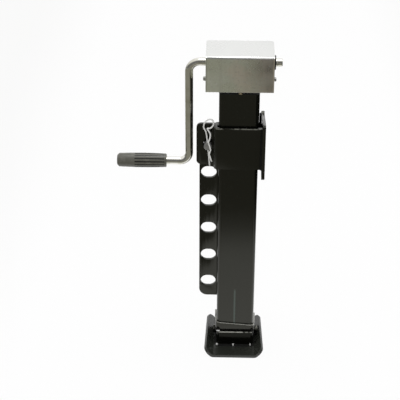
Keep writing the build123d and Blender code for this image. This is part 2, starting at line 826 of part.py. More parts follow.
nodes = {
    "mounting_plate": mounting_plate,
    "front_strap": front_strap,
    "rear_strap": rear_strap,
    "collar_welds": collar_welds,
    "lock_pin": lock_pin,
    "r_clip": r_clip,
    "outer_tube": outer_tube,
    "end_band": end_band,
    "slot_strip": slot_strip,
    "head_weld": head_weld,
    "bearing_plate": bearing_plate,
    "cheek_plates": cheek_plates,
    "shaft_bushes": shaft_bushes,
    "screw_bush": screw_bush,
    "upper_race": upper_race,
    "bearing_balls": bearing_balls,
    "head_cover": head_cover,
    "cover_ends": cover_ends,
    "cover_screws": cover_screws,
    "crank_rod": crank_rod,
    "bevel_pinion": bevel_pinion,
    "pinion_pin": pinion_pin,
    "shaft_washer": shaft_washer,
    "shaft_pin": shaft_pin,
    "grip_ring": grip_ring,
    "hand_grip": hand_grip,
    "lead_screw": lead_screw,
    "bevel_gear": bevel_gear,
    "gear_pin": gear_pin,
    "lower_race": lower_race,
    "stop_ring": stop_ring,
    "stop_pin": stop_pin,
    "inner_tube": inner_tube,
    "nut_plate": nut_plate,
    "screw_nut": screw_nut,
    "foot_socket": foot_socket,
    "foot_pan": foot_pan,
    "foot_bolt": foot_bolt,
    "foot_washer": foot_washer,
    "foot_nut": foot_nut,
}
for name, make in nodes.items():
    export_step(make(), f"parts/{name}.step")
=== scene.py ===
"""Finish, light and view of a crank-wound prop stand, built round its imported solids. Metres."""

import json
import math

import bpy
from mathutils import Matrix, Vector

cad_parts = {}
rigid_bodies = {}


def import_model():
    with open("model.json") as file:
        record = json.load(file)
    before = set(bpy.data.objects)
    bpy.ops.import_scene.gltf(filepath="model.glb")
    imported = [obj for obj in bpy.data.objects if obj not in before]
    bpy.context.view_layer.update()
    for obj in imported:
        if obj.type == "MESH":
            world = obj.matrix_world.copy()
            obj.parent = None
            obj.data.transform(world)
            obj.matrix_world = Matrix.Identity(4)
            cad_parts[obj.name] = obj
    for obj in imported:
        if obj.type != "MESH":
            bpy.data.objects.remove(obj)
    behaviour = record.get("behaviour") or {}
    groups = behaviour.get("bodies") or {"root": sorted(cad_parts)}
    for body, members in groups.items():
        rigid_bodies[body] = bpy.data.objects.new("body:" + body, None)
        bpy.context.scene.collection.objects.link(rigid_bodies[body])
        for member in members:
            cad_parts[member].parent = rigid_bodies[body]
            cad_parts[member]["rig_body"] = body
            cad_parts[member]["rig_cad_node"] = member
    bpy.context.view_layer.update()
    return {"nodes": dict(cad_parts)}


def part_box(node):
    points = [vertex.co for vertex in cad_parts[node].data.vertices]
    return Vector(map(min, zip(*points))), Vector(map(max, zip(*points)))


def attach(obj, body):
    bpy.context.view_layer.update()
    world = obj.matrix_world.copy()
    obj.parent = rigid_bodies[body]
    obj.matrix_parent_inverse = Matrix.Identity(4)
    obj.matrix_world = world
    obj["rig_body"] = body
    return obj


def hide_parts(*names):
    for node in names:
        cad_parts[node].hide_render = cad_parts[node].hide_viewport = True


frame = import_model()
nodes = frame["nodes"]

# Outer leg
# A square tube with a slotted flat bar welded on edge to its left side and a strap round its mouth.
# All of it is sprayed gloss black after welding, and the paint ran once down the front.
merge_gap = 0.000002
near_edge = 0.004
tube_edge = 0.0006
bar_edge = 0.0007
small_edge = 0.0003
paint_black = (0.0018, 0.0019, 0.0013)
paint_dust = (0.060, 0.059, 0.052)
paint_thin = (0.300, 0.300, 0.270)
# Light grey of rubbed-bare paint, which also stands in as a painted highlight on top edges.
paint_rubbed_and_highlit = (0.420, 0.420, 0.380)
paint_sheen = (1.0, 1.0, 0.86, 1.0)
weld_soot = (0.010, 0.010, 0.009)
peel_size = 420
haze_size = 14
# Width of the rubbed line along a top edge, which is also a painted highlight.
rub_and_highlight_width = 0.0016
run_from = 0.050
run_to = 0.114
run_side = -0.0014
run_half = 0.0013
run_green = (0.050, 0.068, 0.062)
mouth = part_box("outer_tube")[0][2]
mouth_trim = 0.003
band_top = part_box("end_band")[1][2]
band_outside = 0.0315
band_share = 0.964
band_drop = 0.005
band_slant = math.radians(4.8)


def deburred(piece, width, segments=3):
    """Rounds a piece's sharp edges. Their faces take the second material."""
    bevel = piece.modifiers.new("cut edges", "BEVEL")
    bevel.width = width
    bevel.segments = segments
    bevel.limit_method = "ANGLE"
    bevel.angle_limit = math.radians(35)
    bevel.miter_outer = "MITER_ARC"
    bevel.harden_normals = True
    bevel.material = 1
    bpy.ops.object.modifier_apply(modifier=bevel.name)


def edged(node, body, width, segments=3):
    """A copy of a node with its cut edges rounded, as deburring and plating or paint leave them."""
    bpy.ops.object.select_all(action="DESELECT")
    piece = nodes[node].copy()
    piece.data = nodes[node].data.copy()
    piece.name = node + "_finished"
    piece.parent = None
    del piece["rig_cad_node"], piece["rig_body"]
    bpy.context.scene.collection.objects.link(piece)
    piece.select_set(True)
    bpy.context.view_layer.objects.active = piece
    bpy.ops.object.mode_set(mode="EDIT")
    bpy.ops.mesh.select_all(action="SELECT")
    bpy.ops.mesh.remove_doubles(threshold=merge_gap)
    bpy.ops.mesh.dissolve_limited(angle_limit=math.radians(0.3))
    bpy.ops.mesh.faces_shade_smooth()
    bpy.ops.object.mode_set(mode="OBJECT")
    deburred(piece, width, segments)
    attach(piece, body)
    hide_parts(node)
    return piece


def unselected(piece, kind):
    """Makes a piece the active one, with nothing selected in its mesh. Kind is VERT, EDGE or FACE."""
    bpy.ops.object.select_all(action="DESELECT")
    piece.select_set(True)
    bpy.context.view_layer.objects.active = piece
    bpy.ops.object.mode_set(mode="EDIT")
    bpy.ops.mesh.select_mode(type=kind)
    bpy.ops.mesh.select_all(action="DESELECT")
    bpy.ops.object.mode_set(mode="OBJECT")


def chosen(piece, wanted):
    """Starts editing a piece with only the vertices selected whose place passes a test."""
    unselected(piece, "VERT")
    for vertex in piece.data.vertices:
        vertex.select = wanted(vertex.co)
    bpy.ops.object.mode_set(mode="EDIT")


def chosen_edges(piece, wanted):
    """Starts editing a piece with only the edges selected whose two ends pass a test."""
    unselected(piece, "EDGE")
    for edge in piece.data.edges:
        first, second = (piece.data.vertices[index].co for index in edge.vertices)
        edge.select = wanted(first, second)
    bpy.ops.object.mode_set(mode="EDIT")


def shifted(piece, wanted, offset):
    """Moves the vertices of a piece whose place passes a test."""
    chosen(piece, wanted)
    bpy.ops.transform.translate(value=offset)
    bpy.ops.object.mode_set(mode="OBJECT")


def dress(piece, material, edges=None):
    """Gives a piece one material, and its rounded edges the same or a second one."""
    kept = [face.material_index for face in piece.data.polygons]
    piece.data.materials.clear()
    piece.data.materials.append(material)
    if edges:
        piece.data.materials.append(edges)
        piece.data.polygons.foreach_set("material_index", kept)


def finish_nodes(name):
    """A new material with its node tree, its shader and its Object coordinates."""
    material = bpy.data.materials.new(name)
    material.use_nodes = True
    tree = material.node_tree
    shader = tree.nodes["Principled BSDF"]
    place = tree.nodes.new("ShaderNodeTexCoord")
    return material, tree, shader, place.outputs["Object"]


def grain(tree, place, size, detail=3.0, stretch=None):
    """Noise on the piece's own coordinates. Size is in cells per metre, and stretch scales each axis."""
    noise = tree.nodes.new("ShaderNodeTexNoise")
    noise.inputs["Scale"].default_value = size
    noise.inputs["Detail"].default_value = detail
    if stretch:
        mapping = tree.nodes.new("ShaderNodeMapping")
        mapping.inputs["Scale"].default_value = stretch
        tree.links.new(place, mapping.inputs["Vector"])
        place = mapping.outputs["Vector"]
    tree.links.new(place, noise.inputs["Vector"])
    return noise.outputs["Fac"]


def spread(tree, value, low, high, to_low, to_high):
    """A value brought from one range to another, held at its ends."""
    ranged = tree.nodes.new("ShaderNodeMapRange")
    ranged.interpolation_type = "SMOOTHSTEP"
    for socket, number in (("From Min", low), ("From Max", high), ("To Min", to_low), ("To Max", to_high)):
        ranged.inputs[socket].default_value = number
    tree.links.new(value, ranged.inputs["Value"])
    return ranged.outputs["Result"]


def blended(tree, factor, first, second):
    """Two colours, or a colour socket and a colour, mixed by a factor."""
    mix = tree.nodes.new("ShaderNodeMix")
    mix.data_type = "RGBA"
    tree.links.new(factor, mix.inputs["Factor"])
    for socket, colour in ((mix.inputs[6], first), (mix.inputs[7], second)):
        if isinstance(colour, tuple):
            socket.default_value = (*colour, 1.0)
        else:
            tree.links.new(colour, socket)
    return mix.outputs[2]


def dented(tree, shader, height, strength, distance):
    """Bump from a height."""
    bump = tree.nodes.new("ShaderNodeBump")
    bump.inputs["Strength"].default_value = strength
    bump.inputs["Distance"].default_value = distance
    tree.links.new(height, bump.inputs["Height"])
    tree.links.new(bump.outputs["Normal"], shader.inputs["Normal"])


def within(tree, value, middle, half, soft):
    """One inside a band about a middle value, falling to nothing over a soft edge."""
    apart = tree.nodes.new("ShaderNodeMath")
    apart.operation = "SUBTRACT"
    apart.inputs[1].default_value = middle
    tree.links.new(value, apart.inputs[0])
    size = tree.nodes.new("ShaderNodeMath")
    size.operation = "ABSOLUTE"
    tree.links.new(apart.outputs["Value"], size.inputs[0])
    return spread(tree, size.outputs["Value"], half - soft, half + soft, 1.0, 0.0)


def times(tree, first, second):
    """Two values multiplied. The second may be a plain number."""
    product = tree.nodes.new("ShaderNodeMath")
    product.operation = "MULTIPLY"
    tree.links.new(first, product.inputs[0])
    if isinstance(second, float):
        product.inputs[1].default_value = second
    else:
        tree.links.new(second, product.inputs[1])
    return product.outputs["Value"]


def largest(tree, first, second):
    """The larger of two values."""
    larger = tree.nodes.new("ShaderNodeMath")
    larger.operation = "MAXIMUM"
    tree.links.new(first, larger.inputs[0])
    tree.links.new(second, larger.inputs[1])
    return larger.outputs["Value"]


def sprayed(tree, shader, place):
    """The sheen, hazier patches and orange peel of sprayed gloss paint."""
    shader.inputs["Specular Tint"].default_value = paint_sheen
    haze = grain(tree, place, haze_size, 4.0)
    tree.links.new(spread(tree, haze, 0.35, 0.70, 0.10, 0.22), shader.inputs["Roughness"])
    dented(tree, shader, grain(tree, place, peel_size, 2.0), 0.18, 0.0002)


def gloss_paint(name, ran=False):
    """Sprayed gloss black with settled dust, and on the tube a run of paint."""
    material, tree, shader, place = finish_nodes(name)
    dust = spread(tree, grain(tree, place, 900, 1.0), 0.70, 0.78, 0.0, 1.0)
    colour = blended(tree, dust, paint_black, paint_dust)
    if ran:
        axes = tree.nodes.new("ShaderNodeSeparateXYZ")
        tree.links.new(place, axes.inputs["Vector"])
        side = within(tree, axes.outputs["X"], run_side, run_half, 0.0007)
        length = within(tree, axes.outputs["Z"], (run_from + run_to) / 2, (run_to - run_from) / 2, 0.004)
        front = spread(tree, axes.outputs["Y"], -0.028, -0.026, 1.0, 0.0)
        colour = blended(tree, times(tree, times(tree, side, length), front), colour, run_green)
    tree.links.new(colour, shader.inputs["Base Color"])
    sprayed(tree, shader, place)
    return material


def weld_paint():
    """Black paint gone dull over the ripples and soot of a weld."""
    material, tree, shader, place = finish_nodes("black_paint_on_weld")
    soot = spread(tree, grain(tree, place, 300, 4.0), 0.35, 0.70, 0.0, 1.0)
    tree.links.new(blended(tree, soot, paint_black, weld_soot), shader.inputs["Base Color"])
    tree.links.new(spread(tree, soot, 0.0, 1.0, 0.45, 0.65), shader.inputs["Roughness"])
    shader.inputs["Specular IOR Level"].default_value = 0.15
    dented(tree, shader, grain(tree, place, peel_size, 2.0), 1.0, 0.0004)
    return material


def thin_paint(name, low, high, bare):
    """The same black worn through in places along an edge."""
    material, tree, shader, place = finish_nodes(name)
    worn = spread(tree, grain(tree, place, 110, 4.0), low, high, 0.0, 1.0)
    tree.links.new(blended(tree, worn, paint_black, bare), shader.inputs["Base Color"])
    tree.links.new(spread(tree, worn, 0.0, 1.0, 0.16, 0.34), shader.inputs["Roughness"])
    return material


def rubbed_and_highlit_paint(name, shine, bare, top, front):
    """Black paint rubbed bare along a top edge, in a narrow line that stops here and there. The line is also
    lightened as a painted highlight on that edge.
    """
    material, tree, shader, place = finish_nodes(name)
    axes = tree.nodes.new("ShaderNodeSeparateXYZ")
    tree.links.new(place, axes.inputs["Vector"])
    above = spread(tree, axes.outputs["Z"], top - rub_and_highlight_width, top - 0.7 * rub_and_highlight_width, 0.0, 1.0)
    before = spread(tree, axes.outputs["Y"], front + 0.7 * rub_and_highlight_width, front + rub_and_highlight_width, 1.0, 0.0)
    patchy = spread(tree, grain(tree, place, 110, 4.0), 0.32, 0.54, 0.0, 1.0)
    # The line is partly rubbed paint and partly a painted highlight along the top front edge.
    rubbed = times(tree, times(tree, above, before), patchy)
    tree.links.new(blended(tree, rubbed, paint_black, bare), shader.inputs["Base Color"])
    shader.inputs["Specular IOR Level"].default_value = 0.5 * shine
    sprayed(tree, shader, place)
    return material


paint = gloss_paint("gloss_black_paint")
rough_paint = weld_paint()
worn_paint = thin_paint("black_paint_edges", 0.44, 0.60, paint_thin)
# Edges rubbed bare and painted light as a highlight, on the band's ledge, the plate and the socket.
bare_and_highlit_paint = thin_paint("black_paint_rubbed_edges", 0.30, 0.50, paint_rubbed_and_highlit)
dress(edged("slot_strip", "outer_leg", bar_edge), paint, worn_paint)
band = edged("end_band", "outer_leg", bar_edge)
shifted(band, lambda place: place.z < mouth + near_edge, (0.0, 0.0, mouth_trim))
shifted(band, lambda place: place.z > band_top - near_edge, (0.0, 0.0, -band_drop))
chosen(band, lambda place: max(abs(place.x), abs(place.y)) > band_outside and place.y < 0.0)
bpy.ops.transform.resize(value=(band_share, band_share, 1.0), center_override=(0.0, 0.0, 0.0))
bpy.ops.object.mode_set(mode="OBJECT")
chosen(band, lambda place: place.z > band_top - band_drop - near_edge)
bpy.ops.transform.rotate(value=-band_slant, orient_axis="Y", center_override=(0.0, 0.0, band_top - band_drop))
bpy.ops.object.mode_set(mode="OBJECT")
# The band's top faces take the light edge paint too, as a painted highlight along its ledge.
for face in band.data.polygons:
    face.material_index = 1 if face.material_index or face.normal.z > 0.5 else 0
dress(band, paint, bare_and_highlit_paint)
tube = edged("outer_tube", "outer_leg", tube_edge)
shifted(tube, lambda place: place.z < mouth + near_edge, (0.0, 0.0, mouth_trim))
dress(tube, gloss_paint("gloss_black_paint_on_tube", ran=True), worn_paint)
dress(nodes["head_weld"], rough_paint)

# Collar
# Two straps bent from flat bar round the leg, with ears for the lock pin, welded to a thick plate.
# The straps and the plate are painted with the leg, and their sawn edges are rubbed and painted light as a
# highlight.
strap_edge = 0.0008
# Grey of the strap's rubbed top edge, which is also a painted highlight.
strap_rubbed_and_highlit = (0.170, 0.170, 0.150)
strap_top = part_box("front_strap")[1][2]
strap_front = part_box("front_strap")[0][1]
rear_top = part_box("rear_strap")[1][2]
rear_rim = 0.008
rear_behind = 0.015
rear_drop = 0.016
plate_drop = 0.007
dress(edged("front_strap", "collar", strap_edge),
      rubbed_and_highlit_paint("gloss_black_paint_on_strap", 1.0, strap_rubbed_and_highlit, strap_top, strap_front), worn_paint)
rear = edged("rear_strap", "collar", strap_edge)
shifted(rear, lambda place: place.z > rear_top - rear_rim and place.y > rear_behind,
        (0.0, 0.0, -rear_drop))
dress(rear, paint, worn_paint)
plate = edged("mounting_plate", "collar", strap_edge)
shifted(plate, lambda place: place.z > rear_top, (0.0, 0.0, -plate_drop))
dress(plate, paint, bare_and_highlit_paint)
dress(nodes["collar_welds"], rough_paint)

# Gear head cover
# Zinc-plated sheet folded over the gears, with a separate plate in each end.
# The plating is dull and blotchy, green on one side and brown on the other, with handling marks.
sheet_edge = 0.0005
zinc_clean = (0.80, 0.805, 0.79)
zinc_green = (0.84, 0.87, 0.775)
zinc_brown = (0.96, 0.885, 0.79)
zinc_mark = (0.62, 0.60, 0.55)
zinc_bright = (0.96, 0.96, 0.93)
cover_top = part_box("head_cover")[1][2]


def plated_sheet():
    """Dull zinc plate on rolled sheet."""
    material, tree, shader, place = finish_nodes("dull_zinc_sheet")
    axes = tree.nodes.new("ShaderNodeSeparateXYZ")
    tree.links.new(place, axes.inputs["Vector"])
    across = tree.nodes.new("ShaderNodeMath")
    across.operation = "ADD"
    tree.links.new(axes.outputs["X"], across.inputs[0])
    tree.links.new(spread(tree, grain(tree, place, 22, 4.0), 0.3, 0.7, -0.03, 0.03), across.inputs[1])
    tint = blended(tree, spread(tree, across.outputs["Value"], -0.03, 0.03, 0.0, 1.0), zinc_green, zinc_brown)
    rolled = spread(tree, grain(tree, place, 90, 3.0, (1.0, 1.0, 0.12)), 0.45, 0.70, 0.0, 0.30)
    handled = blended(tree, rolled, tint, zinc_mark)
    marks = spread(tree, grain(tree, place, 260, 6.0), 0.54, 0.70, 0.0, 0.40)
    handled = blended(tree, marks, handled, zinc_mark)
    flecks = spread(tree, grain(tree, place, 480, 3.0), 0.60, 0.70, 0.0, 0.7)
    handled = blended(tree, flecks, handled, zinc_bright)
    below_top = spread(tree, axes.outputs["Z"], cover_top - 0.004, cover_top - 0.001, 1.0, 0.0)
    tree.links.new(blended(tree, below_top, zinc_clean, handled), shader.inputs["Base Color"])
    shader.inputs["Metallic"].default_value = 1.0
    rough = grain(tree, place, 45, 4.0)
    tree.links.new(spread(tree, rough, 0.3, 0.7, 0.25, 0.38), shader.inputs["Roughness"])
    dented(tree, shader, grain(tree, place, 260, 4.0, (0.4, 1.0, 1.0)), 0.15, 0.0001)
    return material


zinc = plated_sheet()
for node in ("head_cover", "cover_ends"):
    dress(edged(node, "outer_leg", sheet_edge), zinc)

# Crank
# One round bar, bent twice and bright zinc plated, with a washer and a cross pin on its far end.
# Drawing and bending leave faint streaks along the bar.
bright_zinc = (0.80, 0.79, 0.73)
bright_zinc_dull = (0.64, 0.63, 0.54)
fitting_zinc = ((0.66, 0.66, 0.64), (0.52, 0.52, 0.50))
oiled_steel = ((0.050, 0.050, 0.046), (0.025, 0.025, 0.022))


def plated_bar(name, light, dull, smooth, rough, metal=1.0):
    """Bright zinc on drawn bar or wire."""
    material, tree, shader, place = finish_nodes(name)
    patches = spread(tree, grain(tree, place, 70, 4.0), 0.35, 0.7, 0.0, 1.0)
    tree.links.new(blended(tree, patches, light, dull), shader.inputs["Base Color"])
    shader.inputs["Metallic"].default_value = metal
    tree.links.new(spread(tree, patches, 0.0, 1.0, smooth, rough), shader.inputs["Roughness"])
    dented(tree, shader, grain(tree, place, 650, 3.0), 0.10, 0.0001)
    return material


bright = plated_bar("bright_zinc_bar", bright_zinc, bright_zinc_dull, 0.10, 0.20)
dress(nodes["crank_rod"], bright)
fitting = plated_bar("zinc_fittings", *fitting_zinc, 0.22, 0.36)
dress(edged("cover_screws", "outer_leg", small_edge), fitting)
dress(nodes["shaft_pin"], fitting)
oiled = plated_bar("oiled_washer_steel", *oiled_steel, 0.30, 0.45)
dress(edged("shaft_washer", "crank", small_edge), oiled)

# Hand grip
# Moulded plastic that turns on the crank's stem, with ribs along it and a smooth closed end.
# It is dark grey, worn to a lighter grey in patches, with dirt and painted shade dark in the grooves between
# the ribs.
grip_grey = (0.115, 0.113, 0.094)
grip_worn = (0.170, 0.167, 0.140)
grip_groove_dirt_and_shade = (0.004, 0.004, 0.003)
grip_axis = 0.332
grooves = 14
groove_share = 0.158
ribs_from_end = 0.026
ribs_half = 0.0229


def moulded_plastic():
    """Dark grey moulded plastic, worn, with dirt and painted shade dark in its grooves."""
    material, tree, shader, place = finish_nodes("worn_grey_plastic")
    worn = spread(tree, grain(tree, place, 90, 5.0), 0.40, 0.80, 0.0, 0.8)
    colour = blended(tree, worn, grip_grey, grip_worn)
    centred = tree.nodes.new("ShaderNodeMapping")
    centred.inputs["Location"].default_value = (0.0, 0.0, -grip_axis)
    tree.links.new(place, centred.inputs["Vector"])
    axes = tree.nodes.new("ShaderNodeSeparateXYZ")
    tree.links.new(centred.outputs["Vector"], axes.inputs["Vector"])
    around = tree.nodes.new("ShaderNodeMath")
    around.operation = "ARCTAN2"
    tree.links.new(axes.outputs["Y"], around.inputs[0])
    tree.links.new(axes.outputs["Z"], around.inputs[1])
    pitch = tree.nodes.new("ShaderNodeMath")
    pitch.operation = "PINGPONG"
    pitch.inputs[1].default_value = 0.5
    tree.links.new(times(tree, around.outputs["Value"], grooves / (2 * math.pi)), pitch.inputs[0])
    ribbed = within(tree, axes.outputs["X"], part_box("hand_grip")[1][0] - ribs_from_end, ribs_half, 0.0002)
    sunk = spread(tree, pitch.outputs["Value"], groove_share, groove_share + 0.06, 1.0, 0.0)
    # The grooves between the ribs are painted near black: dirt, and painted shade for the recesses.
    colour = blended(tree, times(tree, ribbed, sunk), colour, grip_groove_dirt_and_shade)
    tree.links.new(colour, shader.inputs["Base Color"])
    tree.links.new(spread(tree, worn, 0.0, 1.0, 0.24, 0.42), shader.inputs["Roughness"])
    dented(tree, shader, grain(tree, place, 1100, 2.0), 0.12, 0.0002)
    return material


dress(edged("hand_grip", "grip", small_edge, 2), moulded_plastic())

# Lock pin and clip
# A dull plated steel pin through both ears and a slot, held by a sprung wire clip through its nose.
# The clip is one bright wire: a straight leg through the pin, a ring above it and a waved leg over the nose.
pin_grey = ((0.42, 0.42, 0.41), (0.30, 0.30, 0.29))
# The wire's zinc greys are near white and barely metallic: a painted reflection of the white room the wire
# mirrors.
wire_zinc_and_reflection = ((0.98, 0.98, 0.96), (0.92, 0.92, 0.90))
pin_steel = plated_bar("dull_pin_steel", *pin_grey, 0.38, 0.55, 0.7)
dress(edged("lock_pin", "pin", small_edge), pin_steel)
wire_radius = 0.00115
straight_leg = ((-0.0431, -0.0266, 0.3375), (-0.0457, -0.0266, 0.3660), (-0.0484, -0.0266, 0.3958))
ring = (
    (-0.0532, -0.0266, 0.4010), (-0.0514, -0.0266, 0.4105), (-0.0455, -0.0266, 0.4158),
    (-0.0388, -0.0271, 0.4150), (-0.0372, -0.0281, 0.4070), (-0.0424, -0.0291, 0.4012),
    (-0.0476, -0.0298, 0.4025), (-0.0456, -0.0302, 0.3985), (-0.0420, -0.0308, 0.3932))
waved_leg = (
    (-0.0430, -0.0315, 0.3855), (-0.0456, -0.0315, 0.3799), (-0.0434, -0.0315, 0.3727),
    (-0.0412, -0.0315, 0.3668), (-0.0444, -0.0315, 0.3607), (-0.0424, -0.0315, 0.3543),
    (-0.0402, -0.0315, 0.3475))
wire_bends = straight_leg + ring + waved_leg
bpy.ops.object.select_all(action="DESELECT")
bpy.ops.curve.primitive_nurbs_path_add(location=(0.0, 0.0, 0.0))
clip = bpy.context.object
clip.name = "clip_wire"
line = clip.data.splines[0]
line.points.add(len(wire_bends) - len(line.points))
for point, bend in zip(line.points, wire_bends):
    point.co = (*bend, 1.0)
line.order_u = 3
line.use_endpoint_u = True
line.resolution_u = 8
clip.data.bevel_depth = wire_radius
clip.data.bevel_resolution = 4
clip.data.use_fill_caps = True
bpy.ops.object.convert(target="MESH")
clip = bpy.context.object
bpy.ops.object.mode_set(mode="EDIT")
bpy.ops.mesh.select_all(action="SELECT")
bpy.ops.mesh.remove_doubles(threshold=merge_gap)
bpy.ops.mesh.normals_make_consistent(inside=False)
bpy.ops.mesh.faces_shade_smooth()
bpy.ops.object.mode_set(mode="OBJECT")
wire = plated_bar("bright_clip_wire", *wire_zinc_and_reflection, 0.16, 0.28, 0.05)
dress(clip, wire)
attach(clip, "clip")
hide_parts("r_clip")

# Foot
# A plate with its sides folded up, and a square socket welded on it that is bolted to the inner tube.
# It is painted with the leg, bolt and nut too.
foot_black = (0.027, 0.029, 0.024)
fold_left = -0.03807
fold_right = 0.03497
fold_middle = (fold_left + fold_right) / 2
pan_back = 0.050
back_share = 0.93
flange = 0.0123
pan_sheet = 0.005
pan_corner = 0.011
fold_round = 0.0033
fold_least = 0.05
sole_level = 0.0001
same_place = 0.001
socket_trim = 0.001
socket_edge = 0.0007
pan_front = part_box("foot_pan")[0][1]
socket_low, socket_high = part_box("foot_socket")


def foot_paint():
    """The leg's black on the pan, scuffed dull and dusty by the ground."""
    material, tree, shader, place = finish_nodes("scuffed_black_paint")
    dust = spread(tree, grain(tree, place, 700, 2.0), 0.66, 0.78, 0.0, 0.5)
    tree.links.new(blended(tree, dust, foot_black, paint_dust), shader.inputs["Base Color"])
    scuffs = grain(tree, place, 60, 4.0)
    tree.links.new(spread(tree, scuffs, 0.35, 0.70, 0.18, 0.32), shader.inputs["Roughness"])
    dented(tree, shader, grain(tree, place, peel_size, 2.0), 0.12, 0.0002)
    return material


bpy.ops.object.select_all(action="DESELECT")
bpy.ops.mesh.primitive_plane_add(size=1.0, location=(fold_middle, (pan_front + pan_back) / 2, 0.0))
pan = bpy.context.object
pan.name = "foot_pan_folded"
bpy.ops.transform.resize(value=(fold_right - fold_left, pan_back - pan_front, 1.0))
bpy.ops.object.transform_apply(location=True, rotation=True, scale=True)
for fold, side in ((fold_left, -1), (fold_right, 1)):
    chosen(pan, lambda place: abs(place.x - fold) < same_place)
    bpy.ops.mesh.extrude_edges_move(TRANSFORM_OT_translate={"value": (side * flange, 0.0, flange)})
    bpy.ops.object.mode_set(mode="OBJECT")
chosen(pan, lambda place: place.y > pan_back - same_place)
bpy.ops.transform.resize(value=(back_share, 1.0, 1.0), center_override=(fold_middle, 0.0, 0.0))
bpy.ops.object.mode_set(mode="OBJECT")
chosen(pan, lambda place: place.z > flange / 2)
bpy.ops.mesh.bevel(offset=pan_corner, segments=7, affect="VERTICES")
bpy.ops.object.mode_set(mode="OBJECT")
chosen_edges(
    pan, lambda first, second: max(first.z, second.z) < sole_level and abs(first.y - second.y) > fold_least)
bpy.ops.mesh.bevel(offset=fold_round, segments=5, affect="EDGES")
bpy.ops.mesh.select_all(action="SELECT")
bpy.ops.mesh.faces_shade_smooth()
bpy.ops.object.mode_set(mode="OBJECT")
sheet = pan.modifiers.new("sheet", "SOLIDIFY")
sheet.thickness = pan_sheet
sheet.offset = 1.0
sheet.use_even_offset = True
bpy.ops.object.modifier_apply(modifier=sheet.name)
deburred(pan, bar_edge)
dress(pan, foot_paint(), worn_paint)
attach(pan, "inner_leg")
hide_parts("foot_pan")
socket = edged("foot_socket", "inner_leg", socket_edge)
shifted(socket, lambda place: place.z > socket_high[2] - 0.003, (0.0, 0.0, -socket_trim))
# The socket's top rim is painted light as a highlight, its brighter grey making up for the shade under the
# leg's mouth.
dress(socket, rubbed_and_highlit_paint("dull_black_paint_on_socket", 0.3, paint_rubbed_and_highlit, socket_high[2] - socket_trim,
                           socket_low[1]), bare_and_highlit_paint)
for node in ("foot_bolt", "foot_washer", "foot_nut"):
    dress(edged(node, "inner_leg", small_edge), paint, worn_paint)

# Foot welds
# A bead of weld runs round the socket's base, with three bright lumps left where the electrode stopped.
# The bead is weld metal painted with the foot; the three lumps, and a flat one on the left lump at the leg's
# mouth, are left bright and bare as painted highlights.
bead_leg = 0.0028
bead_corner = 0.0085
weld_metal_and_highlight = ((0.80, 0.80, 0.78), (0.60, 0.60, 0.57))
rust_brown = ((0.30, 0.25, 0.15), (0.16, 0.12, 0.07))
weld_front = socket_low[1] - 0.0013
weld_height = socket_low[2] + bead_leg
mouth_cut = mouth + mouth_trim
bead_width = 2 * (socket_high[0] + bead_leg)
bead_top_share = 1 - 2 * bead_leg / bead_width
weld_low, weld_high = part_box("head_weld")


def lump(name, body, place, half, material, seed):
    """One small lump of weld, wavy as it froze."""
    bpy.ops.object.select_all(action="DESELECT")
    bpy.ops.mesh.primitive_uv_sphere_add(segments=20, ring_count=12, radius=1.0, location=place, scale=half)
    piece = bpy.context.object
    piece.name = name
    bpy.ops.object.transform_apply(location=True, rotation=True, scale=True)
    bpy.ops.object.mode_set(mode="EDIT")
    bpy.ops.mesh.select_all(action="SELECT")
    bpy.ops.transform.vertex_random(offset=0.25 * min(half), seed=seed)
    bpy.ops.mesh.vertices_smooth(factor=0.5, repeat=2)
    bpy.ops.mesh.faces_shade_smooth()
    bpy.ops.object.mode_set(mode="OBJECT")
    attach(piece, body)
    dress(piece, material)


bpy.ops.object.select_all(action="DESELECT")
bpy.ops.mesh.primitive_cube_add(
    size=1.0, location=(0.0, 0.0, socket_low[2] + bead_leg / 2), scale=(bead_width, bead_width, bead_leg))
bead = bpy.context.object
bead.name = "socket_weld"
bpy.ops.object.transform_apply(location=True, rotation=True, scale=True)
chosen_edges(bead, lambda first, second: abs(first.z - second.z) > bead_leg / 2)
bpy.ops.mesh.bevel(offset=bead_corner, segments=8)
bpy.ops.object.mode_set(mode="OBJECT")
unselected(bead, "FACE")
for face in bead.data.polygons:
    face.select = face.normal.z > 0.9
bpy.ops.object.mode_set(mode="EDIT")
bpy.ops.transform.resize(value=(bead_top_share, bead_top_share, 1.0))
bpy.ops.object.mode_set(mode="OBJECT")
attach(bead, "inner_leg")
dress(bead, rough_paint)
# Bright bare weld metal, a painted highlight on the three foot lumps and on the flat lump at the leg's mouth.
bare_weld_and_highlight = plated_bar("bare_weld_metal", *weld_metal_and_highlight, 0.20, 0.35, 0.3)
rust = plated_bar("rusty_weld_chip", *rust_brown, 0.5, 0.7, 0.0)
foot_lumps = (
    ((-0.0292, weld_front, weld_height), (0.0021, 0.0018, 0.0021)),
    ((-0.0025, weld_front - 0.0007, weld_height), (0.0015, 0.0018, 0.0028)),
    ((0.0256, weld_front, weld_height), (0.0013, 0.0014, 0.0024)))
leg_lumps = (
    ("mouth_weld_lump_left", (-0.0284, -0.0318, mouth_cut), (0.0044, 0.0022, 0.0036), rough_paint),
    # A flat bright lump on the front of the left lump: a painted highlight.
    ("mouth_weld_lump_painted_highlight", (-0.0274, -0.0341, mouth_cut - 0.0008), (0.0032, 0.0010, 0.0010), bare_weld_and_highlight),
    ("mouth_weld_lump_right", (0.0280, -0.0315, mouth_cut - 0.0002), (0.0030, 0.0018, 0.0024), rough_paint),
    ("head_weld_chip", (0.0013, weld_low[1], weld_high[2] - 0.0022), (0.0030, 0.0010, 0.0011), rust))
first_leg_seed = 5
for seed, (place, half) in enumerate(foot_lumps, start=1):
    lump(f"foot_weld_lump_{seed}", "inner_leg", place, half, bare_weld_and_highlight, seed)
for seed, (name, place, half, material) in enumerate(leg_lumps, start=first_leg_seed):
    lump(name, "outer_leg", place, half, material, seed)

